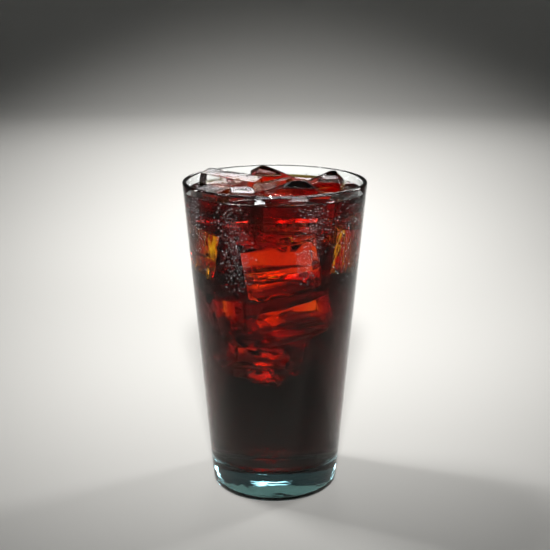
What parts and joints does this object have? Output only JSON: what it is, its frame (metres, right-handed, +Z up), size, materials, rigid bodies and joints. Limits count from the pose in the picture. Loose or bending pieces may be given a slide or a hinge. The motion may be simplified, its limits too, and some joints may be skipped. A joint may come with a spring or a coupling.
{
  "type": "iced coffee in a glass",
  "caption": "Tapered clear glass tumbler of black iced coffee, with clear ice cubes standing out of the surface.",
  "frame": {"origin": "centre of the foot, on the surface the glass stands on", "axes": "+Z up along the glass's axis, -Y towards the side the picture shows, +X to the viewer's right"},
  "size_m": [0.0856, 0.0856, 0.1533],
  "materials": {
    "glass": "clear, pressed soda-lime glass with a faint blue-green tint",
    "coffee": "clear black coffee, deep red where it is thin",
    "ice": "clear ice, wet, with white chipped edges"
  },
  "bodies": {
    "root": {"glass": "glass", "coffee": "coffee", "ice_back_left": "ice", "ice_back": "ice", "ice_middle": "ice", "ice_front": "ice", "ice_right": "ice", "ice_front_left": "ice", "ice_front_middle": "ice"}
  },
  "joints": []
}
